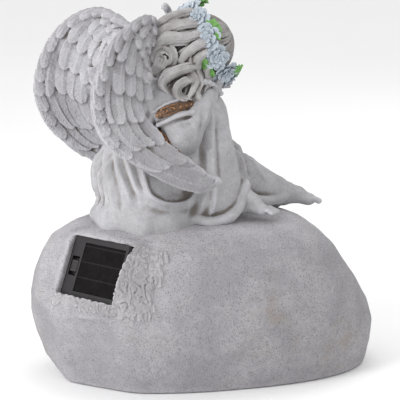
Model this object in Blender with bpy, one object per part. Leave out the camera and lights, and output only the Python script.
"""A garden angel of cast resin, asleep on her knee on a hollow rock that holds a solar light module.

Frame: +Z up, +X the way the angel's feet point, -Y the side with the solar panel, origin at the
bottom centre of the whole object. Lengths are written in millimetres and scaled by MM to metres.
"""

import math

import bmesh
import bpy
from mathutils import Matrix, Vector
from mathutils.bvhtree import BVHTree

MM = 0.001
GAP = 0.3  # clearance between two castings, or between a part and its seat

# Rock casting: each row is height, left end (-X), right end (+X) and half width (Y).
ROCK_PROFILE = (
    (0.0, -104.0, 120.5, 64.0),
    (16.0, -115.5, 124.5, 70.5),
    (32.0, -122.0, 125.5, 76.0),
    (48.0, -125.5, 121.0, 79.0),
    (62.0, -125.5, 113.0, 79.0),
    (76.0, -122.5, 104.0, 76.5),
    (90.0, -117.0, 94.0, 71.0),
    (100.0, -111.5, 83.5, 64.5),
    (108.0, -99.0, 73.0, 55.0),
    (113.5, -86.0, 60.0, 46.0),
    (116.0, -74.0, 45.0, 36.0),
)
ROCK_SQUARENESS = 2.3  # exponent of the super-ellipse that each level follows
ROCK_SIDES = 36
ROCK_WALL = 5.5
# Flat facets of the rock: outward normal and distance from the origin.
LEFT_FACET = ((-0.933, -0.240, -0.268), 101.4)
LOWER_FACET = ((-0.666, -0.649, -0.368), 78.0)

# Solar module: the plane of its opening in the rock, which is one more facet.
PANEL_CENTRE = (-93.0, -40.0, 89.0)
PANEL_AZIMUTH = -57.0
PANEL_LEAN = 24.0
OPENING = (52.0, 43.0)
RECESS = 4.5
POCKET_DEPTH = 27.0
POCKET_WALL = 4.0
FRAME_SIZE = (51.4, 42.4, 3.0)
FRAME_CORNER = 2.5
CELL_SIZE = (38.0, 34.5, 1.2)
CELL_X = 4.5
CELL_DROP = 0.4
SLOT_SIZE = (7.0, 14.0)
SLOT_X = -20.1
KNOB_SIZE = (5.6, 8.0, 1.8)
TUB_SIZE = (48.0, 39.5, 16.0)
TUB_WALL = 1.8
GASKET_THICK = 0.8
POST = (19.3, 15.0, 2.5)  # screw post places, plus and minus, and radius
POST_LENGTH = 8.0
POST_PILOT = 1.3  # radius of the screw holes in the posts
TUB_SCREW = (0.95, 1.9)  # shank and head radius
SWITCH_BODY = (4.6, 12.0, 4.6)
KNOB_STEM = (1.6, 3.0, 3.4)
BOARD_SIZE = (26.0, 15.0, 1.2)
PLATE_SIZE = (0.5, 8.0, 7.0)
LEAD_RADIUS = 1.0
BATTERY = (5.0, 28.0)  # radius and length
BATTERY_Y = -8.5

# Base cover and its screws.
COVER_BOTTOM = 2.2
COVER_THICK = 2.5
SCREW_ANGLES = (35.0, 145.0, 240.0, 325.0)
SCREW_SHANK = 1.2
SCREW_HEAD = 2.8
SCREW_HOLE = 1.6
BOSS_RADIUS = 6.0
BOSS_TOP = 22.0

# Lamp in the far side of the rock.
LAMP_X = 28.0
LAMP_Z = 52.0
LAMP_FACE = 78.2
LAMP_RADIUS = 5.5

# Head and wreath.
HEAD = Vector((0.0, 0.0, 236.0))
CROWN = Vector((0.867, -0.148, 0.476)).normalized()
FACE = Vector((0.17, 0.96, -0.20))
WREATH_OFFSET = 2.8
WREATH_RADIUS = 25.8
WREATH_THICK = 1.8
FLOWERS = 11
FLOWER_RADIUS = 6.6
FLOWER_THICK = 2.2
LEAVES = 8

# Wings: pairs of points on the outer and the inner edge, from the root to the tip, right side.
RIGHT_WING = (
    ((-36, -12, 249), (-40, -14, 241)),
    ((-46, -22, 259), (-47, -20, 236)),
    ((-62, -35, 255), (-50, -24, 229)),
    ((-77, -48, 245), (-51, -29, 220)),
    ((-88, -56, 229), (-53, -35, 211)),
    ((-93, -59, 211), (-57, -42, 201)),
    ((-91, -60, 194), (-57, -49, 190)),
    ((-82, -61, 179), (-50, -53, 178)),
    ((-64, -61, 165), (-38, -54, 168)),
    ((-44, -59, 152), (-24, -53, 161)),
    ((-22, -55, 143), (-12, -52, 155)),
    ((-4, -51, 147), (-2, -50, 151)),
)
LEFT_WING = (
    ((-48, 12, 247), (-50, 14, 240)),
    ((-60, 23, 256), (-57, 22, 236)),
    ((-70, 36, 259), (-60, 28, 229)),
    ((-84, 50, 252), (-62, 34, 220)),
    ((-97, 61, 236), (-65, 42, 211)),
    ((-105, 68, 214), (-68, 50, 201)),
    ((-106, 71, 194), (-69, 58, 190)),
    ((-97, 72, 173), (-64, 62, 178)),
    ((-82, 71, 155), (-54, 63, 166)),
    ((-64, 67, 143), (-42, 61, 158)),
    ((-44, 61, 136), (-30, 58, 150)),
    ((-26, 56, 139), (-22, 55, 144)),
)
WING_THICK = 7.0
PEG_RADIUS = 3.5

# Limbs and drapery as tapered rounds: start, start radius, end, end radius.
SKIRT = (
    ((-50, -15, 138), 27, (-50, 15, 138), 27),
    ((-49, -12, 150), 25, (-49, 12, 150), 25),
    ((-53, 0, 150), 26, (-53, 0, 163), 18),
    ((-38, -17, 142), 23, (-9, -13, 190), 17),
    ((-9, -13, 190), 17, (-2, -19, 132), 20),
    ((-6, -13, 186), 17, (8, -16, 130), 17),
    ((-36, 18, 142), 23, (10, 13, 152), 18),
    ((10, 13, 150), 17, (58, 11, 127), 9),
    ((-30, 0, 132), 24, (12, 0, 130), 18),
    ((20, 10, 132), 14, (56, 11, 122), 9),
)
TORSO = (
    ((-53, 0, 168), 17, (-43, 0, 197), 17),
    ((-52, -7, 170), 15, (-42, -13, 197), 14),
    ((-52, 7, 170), 15, (-42, 13, 197), 14),
    ((-40, -4, 200), 12, (-27, 0, 218), 9),
)
RIGHT_ARM = (
    ((-36, -24, 199), 9, (-24, -31, 180), 10),
    ((-24, -31, 180), 10, (-3, -24, 203), 6.5),
    ((-3, -24, 203), 6, (7, -15, 209), 4.5),
)
LEFT_ARM = (
    ((-36, 24, 199), 9, (-18, 33, 184), 9),
    ((-18, 33, 184), 9, (5, 21, 199), 6.5),
    ((5, 21, 199), 6, (15, 10, 206), 4.5),
)
RIGHT_FOOT = (
    ((20, -24, 132), 7.5, (26, -27, 124), 7),
    ((26, -27, 124), 6.5, (38, -32, 119.5), 4.5),
    ((38, -32, 119.5), 4, (43, -34, 118.5), 3),
)
LEFT_FOOT = (
    ((62, 9, 124), 7, (69, 8, 118), 6),
    ((69, 8, 118), 6, (82, 5, 118), 4),
    ((82, 5, 118), 4, (88, 3, 119), 2.8),
)
BIRD = (
    ((-12, 30, 241), 6.5, (-15, 25, 247), 5),
    ((-9, 35, 247), 4.6, (-10, 34, 247), 4.6),
    ((-9, 39, 247), 1.4, (-9, 41.5, 246.5), 0.8),
    ((-16, 22, 249), 2.4, (-27, 12, 261), 3.2),
)

RESIN = (0.36, 0.355, 0.37)
SHADED_RESIN = (0.30, 0.295, 0.30)
BRONZE = (0.36, 0.20, 0.09)
PETAL = (0.40, 0.44, 0.48)
LEAF = (0.10, 0.22, 0.07)
BLACK = (0.022, 0.020, 0.022)
CELL_BLACK = (0.012, 0.010, 0.012)
KNOB_GREY = (0.05, 0.048, 0.048)
RUBBER = (0.03, 0.03, 0.03)
STEEL = (0.55, 0.55, 0.56)
BOARD = (0.02, 0.12, 0.05)
CELL_WRAP = (0.03, 0.18, 0.07)
COVER_GREY = (0.09, 0.09, 0.095)
CLEAR = (0.80, 0.79, 0.74)
MARBLE_SIDES = 2  # subdivisions of the balls that the limbs are built from
SMALLEST_REST = 0.25  # a cut that leaves less than this share has gone wrong


# ---------------------------------------------------------------- scene and material helpers

def clear_scene():
    """Removes every object, so that the model is all there is."""
    for old in list(bpy.data.objects):
        bpy.data.objects.remove(old, do_unlink=True)


def paint(obj, colour, roughness=0.8, metallic=0.0, alpha=1.0):
    """Gives the object a material of its own."""
    material = bpy.data.materials.new(obj.name + "_material")
    material.use_nodes = True
    shader = material.node_tree.nodes["Principled BSDF"]
    shader.inputs["Base Color"].default_value = (*colour, 1.0)
    shader.inputs["Roughness"].default_value = roughness
    shader.inputs["Metallic"].default_value = metallic
    shader.inputs["Alpha"].default_value = alpha
    obj.data.materials.clear()
    obj.data.materials.append(material)
    return obj


def new_object(name, mesh_maker, parent=None):
    """Makes an object from a bmesh, which is freed."""
    bmesh.ops.recalc_face_normals(mesh_maker, faces=mesh_maker.faces)
    mesh = bpy.data.meshes.new(name)
    mesh_maker.to_mesh(mesh)
    mesh_maker.free()
    obj = bpy.data.objects.new(name, mesh)
    bpy.context.scene.collection.objects.link(obj)
    obj.parent = parent
    return obj


def freeze(obj):
    """Applies the object's modifiers to its mesh."""
    bpy.context.view_layer.update()
    graph = bpy.context.evaluated_depsgraph_get()
    mesh = bpy.data.meshes.new_from_object(obj.evaluated_get(graph), depsgraph=graph)
    obj.modifiers.clear()
    obj.data = mesh
    return obj


def boolean(obj, tool, operation="DIFFERENCE"):
    """Cuts the object with the tool, or joins them, and keeps the result as a plain mesh.

    A cut whose result is open, or nearly gone, is made again with the self-crossing option.
    """
    whole = obj.data.copy()
    least = volume(whole) * SMALLEST_REST
    for self_crossing in (False, True):
        obj.data = whole.copy()
        cut = obj.modifiers.new("Boolean", "BOOLEAN")
        cut.operation = operation
        cut.solver = "EXACT"
        cut.use_self = self_crossing
        cut.object = tool
        freeze(obj)
        if volume(obj.data) > least:
            break
    bpy.data.objects.remove(tool, do_unlink=True)
    return obj


def volume(mesh):
    """The volume inside a closed mesh, and 0 for one with open edges."""
    mesh_maker = bmesh.new()
    mesh_maker.from_mesh(mesh)
    is_closed = all(edge.is_manifold for edge in mesh_maker.edges)
    inside = mesh_maker.calc_volume() if is_closed else 0.0
    mesh_maker.free()
    return inside


def shade(obj, angle=35.0):
    """Smooth shading with sharp edges where faces turn by more than the angle."""
    obj.data.shade_smooth()
    obj.data.set_sharp_from_angle(angle=math.radians(angle))
    return obj


def largest_body(obj):
    """Keeps only the body with the most faces."""
    mesh_maker = bmesh.new()
    mesh_maker.from_mesh(obj.data)
    left = set(mesh_maker.verts)
    bodies = []
    while left:
        body = set()
        front = [left.pop()]
        while front:
            vertex = front.pop()
            body.add(vertex)
            linked = {edge.other_vert(vertex) for edge in vertex.link_edges}
            fresh = linked & left
            left -= fresh
            front.extend(fresh)
        bodies.append(body)
    bodies.sort(key=len, reverse=True)
    spare = [vertex for body in bodies[1:] for vertex in body]
    bmesh.ops.delete(mesh_maker, geom=spare, context="VERTS")
    mesh_maker.to_mesh(obj.data)
    mesh_maker.free()
    return obj


def grown_copy(obj, amount):
    """A copy of the object whose surface is moved outward by the amount."""
    mesh_maker = bmesh.new()
    mesh_maker.from_mesh(obj.data)
    mesh_maker.transform(obj.matrix_world)
    mesh_maker.normal_update()
    moves = [(vertex, vertex.normal * amount) for vertex in mesh_maker.verts]
    for vertex, move in moves:
        vertex.co += move
    return new_object(obj.name + "_grown", mesh_maker)


def surfaces_cross(first, second):
    """Whether the two objects' surfaces meet. Both meshes are in world space."""
    trees = []
    for obj in (first, second):
        mesh_maker = bmesh.new()
        mesh_maker.from_mesh(obj.data)
        trees.append(BVHTree.FromBMesh(mesh_maker))
        mesh_maker.free()
    return bool(trees[0].overlap(trees[1]))


def clear_of(obj, *neighbours):
    """Cuts the neighbours out of the object, with the fitting gap all round."""
    for neighbour in neighbours:
        cutter = grown_copy(neighbour, GAP * MM)
        if surfaces_cross(obj, cutter):
            boolean(obj, cutter)
        else:
            bpy.data.objects.remove(cutter, do_unlink=True)
    return largest_body(obj)


# ---------------------------------------------------------------- shape helpers, in millimetres

def loft(name, rings, parent=None):
    """A closed body through rings of points, with its two ends filled."""
    mesh_maker = bmesh.new()
    loops = [[mesh_maker.verts.new(Vector(point) * MM) for point in ring] for ring in rings]
    count = len(rings[0])
    for lower, upper in zip(loops, loops[1:]):
        for i in range(count):
            j = (i + 1) % count
            mesh_maker.faces.new((lower[i], lower[j], upper[j], upper[i]))
    mesh_maker.faces.new(loops[0])
    mesh_maker.faces.new(loops[-1])
    return new_object(name, mesh_maker, parent)


def block(name, size, centre, parent=None, corner=0.0):
    """A box, with its four upright edges rounded when corner is given."""
    mesh_maker = bmesh.new()
    bmesh.ops.create_cube(mesh_maker, size=MM)
    bmesh.ops.scale(mesh_maker, vec=Vector(size), verts=mesh_maker.verts)
    if corner:
        upright = [
            edge for edge in mesh_maker.edges
            if abs(edge.verts[0].co.z - edge.verts[1].co.z) > 0.5 * size[2] * MM
        ]
        bmesh.ops.bevel(mesh_maker, geom=upright, offset=corner * MM, segments=4,
                        profile=0.5, affect="EDGES")
    bmesh.ops.translate(mesh_maker, vec=Vector(centre) * MM, verts=mesh_maker.verts)
    return new_object(name, mesh_maker, parent)


def rod(name, radius, bottom, top, centre=(0.0, 0.0), parent=None, sides=20):
    """An upright cylinder between two heights."""
    mesh_maker = bmesh.new()
    middle = Vector((centre[0], centre[1], (bottom + top) / 2)) * MM
    bmesh.ops.create_cone(mesh_maker, cap_ends=True, segments=sides, radius1=radius * MM,
                          radius2=radius * MM, depth=(top - bottom) * MM,
                          matrix=Matrix.Translation(middle))
    return new_object(name, mesh_maker, parent)


def turned(name, profile, parent=None, sides=24):
    """A turned body: the profile is a list of radius and height pairs, from top to bottom."""
    mesh_maker = bmesh.new()
    rings = []
    for radius, height in profile:
        ring = []
        for k in range(sides):
            turn = 2 * math.pi * k / sides
            ring.append(mesh_maker.verts.new(
                Vector((radius * math.cos(turn), radius * math.sin(turn), height)) * MM))
        rings.append(ring)
    for upper, lower in zip(rings, rings[1:]):
        for i in range(sides):
            j = (i + 1) % sides
            mesh_maker.faces.new((lower[i], lower[j], upper[j], upper[i]))
    mesh_maker.faces.new(rings[0])
    mesh_maker.faces.new(rings[-1])
    return new_object(name, mesh_maker, parent)


def tapered_round(mesh_maker, start, start_radius, end, end_radius):
    """Adds the hull of two balls."""
    points = bmesh.new()
    for centre, radius in ((start, start_radius), (end, end_radius)):
        bmesh.ops.create_icosphere(points, subdivisions=MARBLE_SIDES, radius=radius * MM,
                                   matrix=Matrix.Translation(Vector(centre) * MM))
    hull = bmesh.new()
    for vertex in points.verts:
        hull.verts.new(vertex.co)
    points.free()
    found = bmesh.ops.convex_hull(hull, input=hull.verts)
    spare = {item for key in ("geom_interior", "geom_unused") for item in found[key]}
    bmesh.ops.delete(hull, geom=[i for i in spare if isinstance(i, bmesh.types.BMVert)],
                     context="VERTS")
    bmesh.ops.recalc_face_normals(hull, faces=hull.faces)
    mesh = bpy.data.meshes.new("hull")
    hull.to_mesh(mesh)
    hull.free()
    mesh_maker.from_mesh(mesh)
    bpy.data.meshes.remove(mesh)


def sculpted(name, rounds, voxel, keep):
    """One body blended from tapered rounds: remeshed, smoothed and thinned out."""
    mesh_maker = bmesh.new()
    for start, start_radius, end, end_radius in rounds:
        tapered_round(mesh_maker, start, start_radius, end, end_radius)
    obj = new_object(name, mesh_maker)
    remesh = obj.modifiers.new("Remesh", "REMESH")
    remesh.mode = "VOXEL"
    remesh.voxel_size = voxel * MM
    smooth = obj.modifiers.new("Smooth", "SMOOTH")
    smooth.factor = 0.5
    smooth.iterations = 4
    thin = obj.modifiers.new("Decimate", "DECIMATE")
    thin.ratio = keep
    return largest_body(freeze(obj))


# ---------------------------------------------------------------- rock

def panel_axes():
    """Unit vectors of the panel plane: across, up the slope, and outward."""
    turn = math.radians(PANEL_AZIMUTH)
    lean = math.radians(PANEL_LEAN)
    outward = Vector((math.sin(turn) * math.cos(lean), -math.cos(turn) * math.cos(lean),
                      math.sin(lean)))
    across = Vector((math.cos(turn), math.sin(turn), 0.0))
    return across, outward.cross(across), outward


def panel_matrix():
    """The frame of the solar module, with its origin in the middle of the opening."""
    across, up, outward = panel_axes()
    matrix = Matrix((across, up, outward)).transposed().to_4x4()
    matrix.translation = Vector(PANEL_CENTRE) * MM
    return matrix


def rock_outline(left, right, half_width, height):
    """One level of the rock, a super-ellipse."""
    middle = (left + right) / 2
    reach = (right - left) / 2
    power = 2 / ROCK_SQUARENESS
    outline = []
    for k in range(ROCK_SIDES):
        turn = 2 * math.pi * k / ROCK_SIDES
        c = math.cos(turn)
        s = math.sin(turn)
        x = middle + reach * math.copysign(abs(c) ** power, c)
        y = half_width * math.copysign(abs(s) ** power, s)
        outline.append((x, y, height))
    return outline


def rock_form(name, inset=0.0, floor=0.0):
    """The rock's outer form, or with an inset the form of its hollow."""
    rings = []
    for height, left, right, half_width in ROCK_PROFILE:
        level = height - inset if height > 0 else floor
        if height > 0 and level <= 0:
            continue
        rings.append(rock_outline(left + inset, right - inset, half_width - inset, level))
    obj = loft(name, rings)
    panel_normal = panel_axes()[2]
    facets = (
        (panel_normal, panel_normal.dot(Vector(PANEL_CENTRE))),
        (Vector(LEFT_FACET[0]), LEFT_FACET[1]),
        (Vector(LOWER_FACET[0]), LOWER_FACET[1]),
    )
    for normal, distance in facets:
        slice_off(obj, normal.normalized(), distance - inset)
    return obj


def slice_off(obj, normal, distance):
    """Removes what lies outside a plane and closes the cut with a flat face."""
    mesh_maker = bmesh.new()
    mesh_maker.from_mesh(obj.data)
    geometry = mesh_maker.verts[:] + mesh_maker.edges[:] + mesh_maker.faces[:]
    bmesh.ops.bisect_plane(mesh_maker, geom=geometry, plane_co=normal * distance * MM,
                           plane_no=normal, clear_outer=True)
    rim = [edge for edge in mesh_maker.edges if edge.is_boundary]
    bmesh.ops.holes_fill(mesh_maker, edges=rim)
    bmesh.ops.recalc_face_normals(mesh_maker, faces=mesh_maker.faces)
    mesh_maker.to_mesh(obj.data)
    mesh_maker.free()


def screw_places():
    """Where the base screws stand: just inside the rock's wall."""
    _, left, right, half_width = ROCK_PROFILE[0]
    inset = ROCK_WALL + SCREW_HEAD + 0.8
    outline = rock_outline(left + inset, right - inset, half_width - inset, 0)
    return [outline[round(angle / 360 * ROCK_SIDES)][:2] for angle in SCREW_ANGLES]


def make_rock():
    """The hollow casting: wall, panel pocket, screw bosses and lamp hole."""
    rock = rock_form("rock_shell")
    hollow = rock_form("hollow", ROCK_WALL, -2.0)
    pocket_size = (OPENING[0] + 2 * POCKET_WALL, OPENING[1] + 2 * POCKET_WALL, POCKET_DEPTH)
    pocket_block = block("pocket_block", pocket_size, (0, 0, -POCKET_DEPTH / 2))
    pocket_block.matrix_world = panel_matrix()
    boolean(hollow, pocket_block)
    for x, y in screw_places():
        boss_foot = COVER_BOTTOM + COVER_THICK + GAP
        boolean(hollow, rod("boss", BOSS_RADIUS, boss_foot, BOSS_TOP, (x, y)))
    boolean(rock, largest_body(hollow))
    proud = 8.0  # the opening runs this far past both ends of the pocket
    opening = block("opening", (*OPENING, POCKET_DEPTH + 2 * proud), (0, 0, -POCKET_DEPTH / 2))
    opening.matrix_world = panel_matrix()
    boolean(rock, opening)
    for x, y in screw_places():
        boolean(rock, rod("pilot", SCREW_HOLE, -1, BOSS_TOP - 6, (x, y), sides=12))
    lamp_hole = rod("lamp_hole", LAMP_RADIUS + GAP, -20, 20)
    lamp_hole.matrix_world = lamp_matrix()
    boolean(rock, lamp_hole)
    largest_body(rock)
    return paint(shade(rock, 25), RESIN, 0.85)


def make_base_cover():
    """The plate that closes the rock from below, and its four screws."""
    _, left, right, half_width = ROCK_PROFILE[0]
    inset = ROCK_WALL + 0.6
    top = COVER_BOTTOM + COVER_THICK
    rings = [rock_outline(left + inset, right - inset, half_width - inset, z)
             for z in (COVER_BOTTOM, top)]
    cover = loft("base_cover", rings)
    slice_off(cover, Vector(LOWER_FACET[0]).normalized(), LOWER_FACET[1] - inset - 1.0)
    slice_off(cover, Vector(LEFT_FACET[0]).normalized(), LEFT_FACET[1] - inset - 1.0)
    for x, y in screw_places():
        boolean(cover, rod("hole", SCREW_HOLE, 0, top + 1, (x, y), sides=12))
    paint(shade(cover), COVER_GREY, 0.6)
    for number, (x, y) in enumerate(screw_places(), 1):
        profile = ((SCREW_SHANK * 0.5, BOSS_TOP - 8), (SCREW_SHANK, BOSS_TOP - 10),
                   (SCREW_SHANK, COVER_BOTTOM - GAP), (SCREW_HEAD, COVER_BOTTOM - GAP),
                   (SCREW_HEAD, 0.9), (SCREW_HEAD - 0.5, 0.5))
        screw = turned(f"base_screw_{number}", profile, sides=14)
        screw.location = Vector((x, y, 0)) * MM
        paint(shade(screw), STEEL, 0.35, 1.0)


# ---------------------------------------------------------------- solar module, in panel axes

def make_solar_frame(module):
    """The black front frame: cell seat, switch slot and four screw posts behind."""
    front = -RECESS
    back = front - FRAME_SIZE[2]
    frame = block("solar_frame", FRAME_SIZE, (0, 0, (front + back) / 2), corner=FRAME_CORNER)
    for sx in (-1, 1):
        for sy in (-1, 1):
            post = rod("post", POST[2], back - POST_LENGTH, back + 1, (sx * POST[0], sy * POST[1]))
            boolean(frame, post, "UNION")
    seat_depth = CELL_SIZE[2] + CELL_DROP + GAP
    seat = (CELL_SIZE[0] + 2 * GAP, CELL_SIZE[1] + 2 * GAP, seat_depth * 2)
    boolean(frame, block("seat", seat, (CELL_X, 0, front)))
    slot = (*SLOT_SIZE, FRAME_SIZE[2] * 3)
    boolean(frame, block("slot", slot, (SLOT_X, 0, front), corner=0.8))
    for sx in (-1, 1):
        for sy in (-1, 1):
            place = (sx * POST[0], sy * POST[1])
            hole = rod("hole", POST_PILOT, back - POST_LENGTH - 1, back - 1.2, place, sides=10)
            boolean(frame, hole)
    frame.parent = module
    return paint(shade(frame), BLACK, 0.5)


def make_solar_tub(module):
    """The sealed tub behind the frame, with posts that meet the frame's; returns its bottom."""
    top = -RECESS - FRAME_SIZE[2] - GASKET_THICK - 2 * GAP
    bottom = top - TUB_SIZE[2]
    tub = block("solar_housing", TUB_SIZE, (0, 0, (top + bottom) / 2), corner=2.0)
    cavity_depth = TUB_SIZE[2] - TUB_WALL
    cavity = (TUB_SIZE[0] - 2 * TUB_WALL, TUB_SIZE[1] - 2 * TUB_WALL, cavity_depth + 4)
    cutter = block("cavity", cavity, (0, 0, top - cavity_depth / 2 + 2), corner=1.0)
    post_top = -RECESS - FRAME_SIZE[2] - POST_LENGTH - GAP
    for sx in (-1, 1):
        for sy in (-1, 1):
            post = rod("post", POST[2], bottom - 1, post_top, (sx * POST[0], sy * POST[1]))
            boolean(cutter, post)
    boolean(tub, largest_body(cutter))
    for sx in (-1, 1):
        for sy in (-1, 1):
            place = (sx * POST[0], sy * POST[1])
            boolean(tub, rod("hole", POST_PILOT, bottom - 1, post_top + 1, place, sides=10))
    lead_hole = rod("lead_hole", 1.6, -6, 6, sides=12)
    lead_hole.matrix_world = lead_exit_matrix(bottom)
    boolean(tub, lead_hole)
    tub.parent = module
    paint(shade(tub), BLACK, 0.55)
    number = 0
    for sx in (-1, 1):
        for sy in (-1, 1):
            number += 1
            shank, head = TUB_SCREW
            profile = ((0.5, post_top + 5.5), (shank, post_top + 4.5), (shank, bottom - GAP),
                       (head, bottom - GAP), (head, bottom - 1.3))
            screw = turned(f"housing_screw_{number}", profile, module, sides=12)
            screw.location = Vector((sx * POST[0], sy * POST[1], 0)) * MM
            paint(shade(screw), STEEL, 0.35, 1.0)
    return bottom


def lead_exit_matrix(bottom):
    """Where the lamp's lead leaves the tub's floor."""
    return Matrix.Translation(Vector((10.0, 6.0, bottom)) * MM)


def make_gasket(module):
    """The seal ring between frame and tub."""
    top = -RECESS - FRAME_SIZE[2] - GAP
    middle = top - GASKET_THICK / 2
    outer = (TUB_SIZE[0] - 0.6, TUB_SIZE[1] - 0.6, GASKET_THICK)
    gasket = block("housing_gasket", outer, (0, 0, middle), corner=2.0)
    inner = (TUB_SIZE[0] - 2 * TUB_WALL + 0.4, TUB_SIZE[1] - 2 * TUB_WALL + 0.4, 4)
    boolean(gasket, block("inner", inner, (0, 0, middle), corner=1.0))
    gasket.parent = module
    paint(gasket, RUBBER, 0.9)


def make_electrics(module, tub_bottom):
    """Cell, switch, board, battery and its two contacts."""
    front = -RECESS
    back = front - FRAME_SIZE[2]
    cell_middle = front - CELL_DROP - CELL_SIZE[2] / 2
    cell = block("solar_cell", CELL_SIZE, (CELL_X, 0, cell_middle), module)
    paint(cell, CELL_BLACK, 0.25)
    body_top = back - 0.4
    switch = block("switch_body", SWITCH_BODY, (SLOT_X + 0.4, 0, body_top - SWITCH_BODY[2] / 2))
    boolean(switch, block("groove", (2.4, 9.0, 4.0), (SLOT_X, 0, body_top)))
    switch.parent = module
    paint(switch, STEEL, 0.4, 1.0)
    knob_top = front - 0.2
    knob = block("switch_knob", KNOB_SIZE, (SLOT_X, 0, knob_top - KNOB_SIZE[2] / 2), corner=0.6)
    for k in (-1, 0, 1):
        boolean(knob, block("rib", (9.0, 0.5, 0.7), (SLOT_X, k * 1.7, knob_top)))
    stem = block("stem", KNOB_STEM, (SLOT_X, 0, knob_top - KNOB_SIZE[2] - 1.5))
    boolean(knob, stem, "UNION")
    knob.parent = module
    paint(knob, KNOB_GREY, 0.55)
    floor = tub_bottom + TUB_WALL
    board = block("circuit_board", BOARD_SIZE, (3.0, 7.0, back - 5.6), module)
    paint(board, BOARD, 0.5)
    turn = Matrix.Rotation(math.radians(90), 4, "Y")
    battery_z = floor + BATTERY[0] + 0.4
    place = Matrix.Translation(Vector((0.0, BATTERY_Y, battery_z)) * MM)
    half = BATTERY[1] / 2
    profile = ((1.6, half + 0.9), (1.6, half), (BATTERY[0] - 0.4, half), (BATTERY[0], half - 0.5),
               (BATTERY[0], 0.5 - half), (BATTERY[0] - 0.4, -half))
    battery = turned("battery", profile, module)
    battery.matrix_local = place @ turn
    paint(shade(battery), CELL_WRAP, 0.35)
    plate_x = half + 0.9 + GAP + PLATE_SIZE[0] / 2
    plate = block("battery_plate", PLATE_SIZE, (plate_x, BATTERY_Y, battery_z), module)
    paint(plate, STEEL, 0.3, 1.0)
    spring = make_spring(module)
    spring.matrix_local = Matrix.Translation(
        Vector((-half - GAP, BATTERY_Y, battery_z)) * MM) @ turn


def make_spring(module, turns=2.5, length=3.4, wire=0.35):
    """The conical battery spring, along its own -Z axis."""
    steps = 24
    curve = bpy.data.curves.new("battery_spring", "CURVE")
    curve.dimensions = "3D"
    curve.bevel_depth = wire * MM
    curve.bevel_resolution = 1
    curve.use_fill_caps = True
    line = curve.splines.new("POLY")
    line.points.add(steps)
    for k, point in enumerate(line.points):
        share = k / steps
        turn = 2 * math.pi * turns * share
        radius = 2.0 + 1.6 * share
        place = Vector((radius * math.cos(turn), radius * math.sin(turn),
                        -wire - length * share)) * MM
        point.co = (*place, 1.0)
    return paint(curve_to_object(curve, module), STEEL, 0.3, 1.0)


def curve_to_object(curve, parent=None):
    """Turns a curve into a mesh object of the same name."""
    holder = bpy.data.objects.new(curve.name, curve)
    bpy.context.scene.collection.objects.link(holder)
    bpy.context.view_layer.update()
    graph = bpy.context.evaluated_depsgraph_get()
    mesh = bpy.data.meshes.new_from_object(holder.evaluated_get(graph), depsgraph=graph)
    name = curve.name
    bpy.data.objects.remove(holder, do_unlink=True)
    mesh_maker = bmesh.new()
    mesh_maker.from_mesh(mesh)
    bmesh.ops.remove_doubles(mesh_maker, verts=mesh_maker.verts, dist=1e-6)
    return new_object(name, mesh_maker, parent)


# ---------------------------------------------------------------- lamp

def lamp_matrix():
    """The lamp's frame: +Z looks out of the rock's far side."""
    place = Matrix.Translation(Vector((LAMP_X, LAMP_FACE, LAMP_Z)) * MM)
    return place @ Matrix.Rotation(math.radians(-90), 4, "X")


def make_lamp():
    """Lens, holder and light-emitting diode in the far wall."""
    radius = LAMP_RADIUS
    profile = ((0.8, 0.2), (radius * 0.5, -0.2), (radius * 0.85, -1.0), (radius, -2.2),
               (radius, -4.5))
    lens = turned("lamp_lens", profile)
    lens.matrix_world = lamp_matrix()
    paint(shade(lens), CLEAR, 0.35, alpha=0.6)
    holder = turned("lamp_holder", ((radius, -4.8), (radius, -9), (radius + 2.0, -9),
                                    (radius + 2.0, -13), (2.9, -13), (2.9, -4.8)), sides=24)
    close_ring(holder)
    holder.matrix_world = lamp_matrix()
    paint(shade(holder), BLACK, 0.55)
    diode = turned("lamp_diode", ((0.6, -5.0), (1.8, -5.6), (2.5, -7.2), (2.5, -15), (1.2, -15),
                                  (1.2, -17)), sides=18)
    diode.matrix_world = lamp_matrix()
    paint(shade(diode), CLEAR, 0.2, alpha=0.6)


def close_ring(obj):
    """Swaps a turned body's two end caps for a wall, which makes it a tube."""
    mesh_maker = bmesh.new()
    mesh_maker.from_mesh(obj.data)
    caps = [face for face in mesh_maker.faces if len(face.verts) > 4]
    rims = [edge for face in caps for edge in face.edges]
    bmesh.ops.delete(mesh_maker, geom=caps, context="FACES_ONLY")
    bmesh.ops.bridge_loops(mesh_maker, edges=rims)
    bmesh.ops.recalc_face_normals(mesh_maker, faces=mesh_maker.faces)
    mesh_maker.to_mesh(obj.data)
    mesh_maker.free()


def make_lead(tub_bottom):
    """The lamp's two-core lead inside the hollow, from the tub's floor to the diode."""
    start = panel_matrix() @ lead_exit_matrix(tub_bottom)
    inward = -panel_axes()[2]
    first = start.translation / MM
    last = Vector((LAMP_X, LAMP_FACE - 17.4, LAMP_Z))
    knots = (first - inward * 3.0, first + inward * 5.0, first + inward * 16 + Vector((4, 4, -6)),
             Vector((-25, 8, 46)), Vector((5, 24, 40)), last - Vector((2, 20, 5)),
             last - Vector((0, 8, 0)), last)
    curve = bpy.data.curves.new("lamp_lead", "CURVE")
    curve.dimensions = "3D"
    curve.bevel_depth = LEAD_RADIUS * MM
    curve.bevel_resolution = 1
    curve.use_fill_caps = True
    points = smooth_route(knots, 5)
    line = curve.splines.new("POLY")
    line.points.add(len(points) - 1)
    for target, point in zip(line.points, points):
        target.co = (*(point * MM), 1.0)
    paint(curve_to_object(curve), RUBBER, 0.6)


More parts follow.
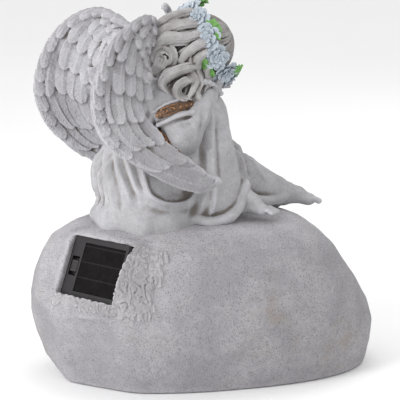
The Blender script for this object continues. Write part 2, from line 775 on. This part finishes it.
def smooth_route(knots, steps):
    """Points on a Catmull-Rom curve through the knots."""
    ends = [2 * knots[0] - knots[1], *knots, 2 * knots[-1] - knots[-2]]
    points = []
    for a, b, c, d in zip(ends, ends[1:], ends[2:], ends[3:]):
        for k in range(steps):
            t = k / steps
            points.append(0.5 * (2 * b + (c - a) * t + (2 * a - 5 * b + 4 * c - d) * t * t
                                 + (3 * b - a - 3 * c + d) * t ** 3))
    points.append(knots[-1])
    return points


# ---------------------------------------------------------------- angel

def make_wing(name, sections, side, torso):
    """A cupped wing of lens-shaped sections, with its root and a peg for the back's socket."""
    rings = []
    last = len(sections) - 1
    for k, (outer, inner) in enumerate(sections):
        a = Vector(outer)
        b = Vector(inner)
        thick = WING_THICK * (0.35 + 0.65 * math.sin(math.pi * (0.2 + 0.75 * k / last)))
        ahead = Vector(sections[min(k + 1, last)][0]) + Vector(sections[min(k + 1, last)][1])
        behind = Vector(sections[max(k - 1, 0)][0]) + Vector(sections[max(k - 1, 0)][1])
        normal = (b - a).cross(ahead - behind).normalized()
        if normal.y * side < 0:
            normal.negate()
        ring = []
        for u, v in ((0, 0), (0.2, 0.8), (0.5, 1.15), (0.8, 0.8), (1, 0),
                     (0.8, -0.3), (0.5, -0.15), (0.2, -0.3)):
            ring.append(a.lerp(b, u) + normal * thick * 0.7 * v)
        rings.append(ring)
    wing = loft(name, rings)
    back = Vector((-55.0, side * 9.0, 198.0))
    root = Vector(sections[4][1]).lerp(Vector(sections[4][0]), 0.15)
    neck = Vector((-62.0, side * 20.0, 203.0))
    mesh_maker = bmesh.new()
    tapered_round(mesh_maker, root, 6.0, neck, 7.0)
    boolean(wing, new_object("root", mesh_maker), "UNION")
    clear_of(wing, torso)
    peg_matrix = (back - neck).to_track_quat("Z", "Y").to_matrix().to_4x4()
    peg_matrix.translation = neck * MM
    length = (back - neck).length
    for radius, target in ((PEG_RADIUS + GAP, torso), (PEG_RADIUS, wing)):
        reach = length + (GAP if target is torso else 0)
        peg = rod("peg", radius, 0, reach)
        peg.matrix_world = peg_matrix
        boolean(target, peg, "DIFFERENCE" if target is torso else "UNION")
    return paint(shade(largest_body(wing)), RESIN, 0.85)


def make_figure(rock):
    """Gown, torso, arms, feet, head, hair and wings, each cut clear of what it sits on."""
    skirt = sculpted("gown_skirt", SKIRT, 3.0, 0.12)
    clear_of(skirt, rock)
    torso = sculpted("gown_bodice", TORSO, 2.6, 0.13)
    clear_of(torso, skirt)
    right_wing = make_wing("right_wing", RIGHT_WING, -1, torso)
    left_wing = make_wing("left_wing", LEFT_WING, 1, torso)
    clear_of(right_wing, skirt)
    clear_of(left_wing, skirt)
    head = make_head(torso)
    clear_of(head, skirt)
    arms = []
    for name, rounds in (("right_arm", RIGHT_ARM), ("left_arm", LEFT_ARM)):
        arm = sculpted(name, rounds, 1.8, 0.11)
        arms.append(clear_of(arm, skirt, torso, head))
    feet = []
    for name, rounds in (("right_foot", RIGHT_FOOT), ("left_foot", LEFT_FOOT)):
        foot = sculpted(name, rounds, 1.3, 0.11)
        feet.append(clear_of(foot, rock, skirt))
    hair = make_hair()
    clear_of(hair, head, torso, skirt, *arms, right_wing, left_wing)
    for obj in (skirt, torso, *arms, *feet):
        paint(shade(obj), RESIN, 0.85)
    paint(shade(head), RESIN, 0.8)
    paint(shade(hair), SHADED_RESIN, 0.85)
    return skirt, torso, arms, hair, head, right_wing, left_wing


def make_head(torso):
    """Skull, cheek, jaw, nose and a short neck that meets the bodice."""
    face = (FACE - FACE.dot(CROWN) * CROWN).normalized()
    jaw = HEAD - CROWN * 9 + face * 6
    nose = HEAD - CROWN * 3 + face * 19
    rounds = (
        (HEAD, 19, HEAD + CROWN * 1.5, 19),
        (HEAD, 17, jaw, 11),
        (HEAD + face * 15 + CROWN * 2, 2.6, nose, 2.4),
        (HEAD - CROWN * 8, 10, HEAD - CROWN * 19 - face * 2, 8.5),
    )
    head = sculpted("head", rounds, 1.9, 0.11)
    return clear_of(head, torso)


def make_hair():
    """The hair: a cap round the skull, a bun low at the back and locks towards the knee."""
    face = (FACE - FACE.dot(CROWN) * CROWN).normalized()
    rounds = (
        (HEAD - face * 1.5, 22.3, HEAD - face * 1.5 + CROWN * 1.0, 22.3),
        (HEAD - CROWN * 12 - face * 6, 15, Vector((-31, -8, 229)), 9),
        (Vector((-31, -9, 229)), 9.5, Vector((-35, -10, 226)), 7.5),
        (Vector((-8, -16, 224)), 6, Vector((-12, -22, 212)), 5),
    )
    hair = sculpted("hair", rounds, 2.2, 0.11)
    mesh_maker = bmesh.new()
    opening = HEAD + face * 24 - CROWN * 6
    tapered_round(mesh_maker, opening, 15.5, opening + face * 8, 16)
    boolean(hair, new_object("face_opening", mesh_maker))
    return hair


def make_bird(neighbours):
    """The small songbird perched on the hair, tail up."""
    bird = sculpted("songbird", BIRD, 0.9, 0.07)
    clear_of(bird, *neighbours)
    paint(shade(bird), RESIN, 0.85)
    return bird


# ---------------------------------------------------------------- wreath and trims

def wreath_matrix():
    """The wreath's frame: +Z along the crown, origin in the ring's middle."""
    matrix = CROWN.to_track_quat("Z", "Y").to_matrix().to_4x4()
    matrix.translation = (HEAD + CROWN * WREATH_OFFSET) * MM
    return matrix


def make_wreath(neighbours):
    """The ring that carries the flowers and leaves."""
    sections = 36
    around = 6
    rings = []
    for k in range(sections):
        turn = 2 * math.pi * k / sections
        outward = Vector((math.cos(turn), math.sin(turn), 0))
        ring = []
        for i in range(around):
            angle = 2 * math.pi * i / around
            ring.append(outward * (WREATH_RADIUS + WREATH_THICK * math.cos(angle))
                        + Vector((0, 0, WREATH_THICK * math.sin(angle))))
        rings.append(ring)
    mesh_maker = bmesh.new()
    loops = [[mesh_maker.verts.new(point * MM) for point in ring] for ring in rings]
    for k in range(sections):
        following = loops[(k + 1) % sections]
        for i in range(around):
            j = (i + 1) % around
            mesh_maker.faces.new((loops[k][i], loops[k][j], following[j], following[i]))
    mesh_maker.transform(wreath_matrix())
    band = new_object("wreath_band", mesh_maker)
    clear_of(band, *neighbours)
    return paint(shade(band), LEAF, 0.7)


def lobed_disc(name, radius, thick, lobes, depth, steps=4):
    """A flat plate with a lobed edge, standing on its own XY plane."""
    count = lobes * steps
    rings = []
    for height, share in ((0, 0.9), (thick * 0.6, 1.0), (thick, 0.8)):
        ring = []
        for k in range(count):
            turn = 2 * math.pi * k / count
            reach = radius * share * (1 - depth * (0.5 - 0.5 * math.cos(lobes * turn)))
            ring.append((reach * math.cos(turn), reach * math.sin(turn), height))
        rings.append(ring)
    return loft(name, rings)


def on_wreath(obj, turn, lift, side_offset, tilt):
    """Stands a plate on the ring, facing outward, turned to one side by the tilt."""
    outward = Vector((math.cos(turn), math.sin(turn), 0))
    along = Vector((-math.sin(turn), math.cos(turn), 0))
    normal = (outward * math.cos(tilt) + Vector((0, 0, 1)) * math.sin(tilt)).normalized()
    local = Matrix((along, normal.cross(along), normal)).transposed().to_4x4()
    local.translation = (outward * (WREATH_RADIUS + lift) + Vector((0, 0, side_offset))) * MM
    obj.data.transform(wreath_matrix() @ local)
    return obj


def make_flowers(neighbours):
    """Five-petalled flowers round the ring, and leaves between them on both sides."""
    made = list(neighbours)
    for number in range(FLOWERS):
        turn = 2 * math.pi * number / FLOWERS
        flower = lobed_disc(f"flower_{number + 1}", FLOWER_RADIUS, FLOWER_THICK, 5, 0.25)
        on_wreath(flower, turn, WREATH_THICK + GAP, 0, 0)
        if number:
            clear_of(flower, made[-1])
        clear_of(flower, *neighbours)
        made.append(flower)
        paint(shade(flower), PETAL, 0.75)
    first, last = made[len(neighbours)], made[-1]
    clear_of(last, first)
    flowers = made[len(neighbours):]
    for number in range(LEAVES):
        side = 1 if number % 2 else -1
        turn = 2 * math.pi * (number + 0.5) / LEAVES
        leaf = lobed_disc(f"leaf_{number + 1}", 4.4, 1.2, 3, 0.3)
        on_wreath(leaf, turn, 1.2, side * 8.2, side * 0.5)
        clear_of(leaf, *neighbours, *flowers)
        paint(shade(leaf), LEAF, 0.7)


def trim_ribbon(name, loop, width, thick, neighbours):
    """A raised ribbon that follows a closed loop of points."""
    rings = []
    count = len(loop)
    middle = sum(loop, Vector()) / count
    for k, point in enumerate(loop):
        outward = point - middle
        outward.z = 0
        outward.normalize()
        up = Vector((0, 0, 1))
        half = width / 2
        rings.append([point - up * half - outward * 3, point - up * half + outward * thick,
                      point + up * half + outward * thick, point + up * half - outward * 3])
    mesh_maker = bmesh.new()
    loops = [[mesh_maker.verts.new(p * MM) for p in ring] for ring in rings]
    for k in range(count):
        following = loops[(k + 1) % count]
        for i in range(4):
            j = (i + 1) % 4
            mesh_maker.faces.new((loops[k][i], loops[k][j], following[j], following[i]))
    ribbon = new_object(name, mesh_maker)
    clear_of(ribbon, *neighbours)
    return paint(shade(ribbon), BRONZE, 0.4, 0.8)


def oval_loop(centre, reach_x, reach_y, slope, count=28):
    """A level oval that slopes down along +X."""
    loop = []
    for k in range(count):
        turn = 2 * math.pi * k / count
        x = reach_x * math.cos(turn)
        loop.append(Vector(centre) + Vector((x, reach_y * math.sin(turn), -slope * x)))
    return loop


def make_trims(skirt, torso, arms, head, wings):
    """The bronze belt and the bronze neckline border."""
    belt_loop = oval_loop((-53.5, 0, 172), 17.5, 23.5, 0.22)
    trim_ribbon("belt_trim", belt_loop, 4.5, 2.6, (skirt, torso, *arms, *wings))
    neck_loop = oval_loop((-36.5, 0, 203.5), 17.5, 17.5, -0.12)
    trim_ribbon("neckline_trim", neck_loop, 3.6, 2.2, (torso, *arms, head, *wings, skirt))


def main():
    clear_scene()
    rock = make_rock()
    make_base_cover()
    module = bpy.data.objects.new("solar_module", None)
    bpy.context.scene.collection.objects.link(module)
    module.matrix_world = panel_matrix()
    make_solar_frame(module)
    tub_bottom = make_solar_tub(module)
    make_gasket(module)
    make_electrics(module, tub_bottom)
    make_lamp()
    make_lead(tub_bottom)
    skirt, torso, arms, hair, head, right_wing, left_wing = make_figure(rock)
    wings = (right_wing, left_wing)
    make_trims(skirt, torso, arms, head, wings)
    bird = make_bird((hair, head, *wings, *arms))
    band = make_wreath((hair, head, skirt, *arms, *wings, bird))
    make_flowers((band, hair, head, skirt, *arms, *wings, bird))


main()
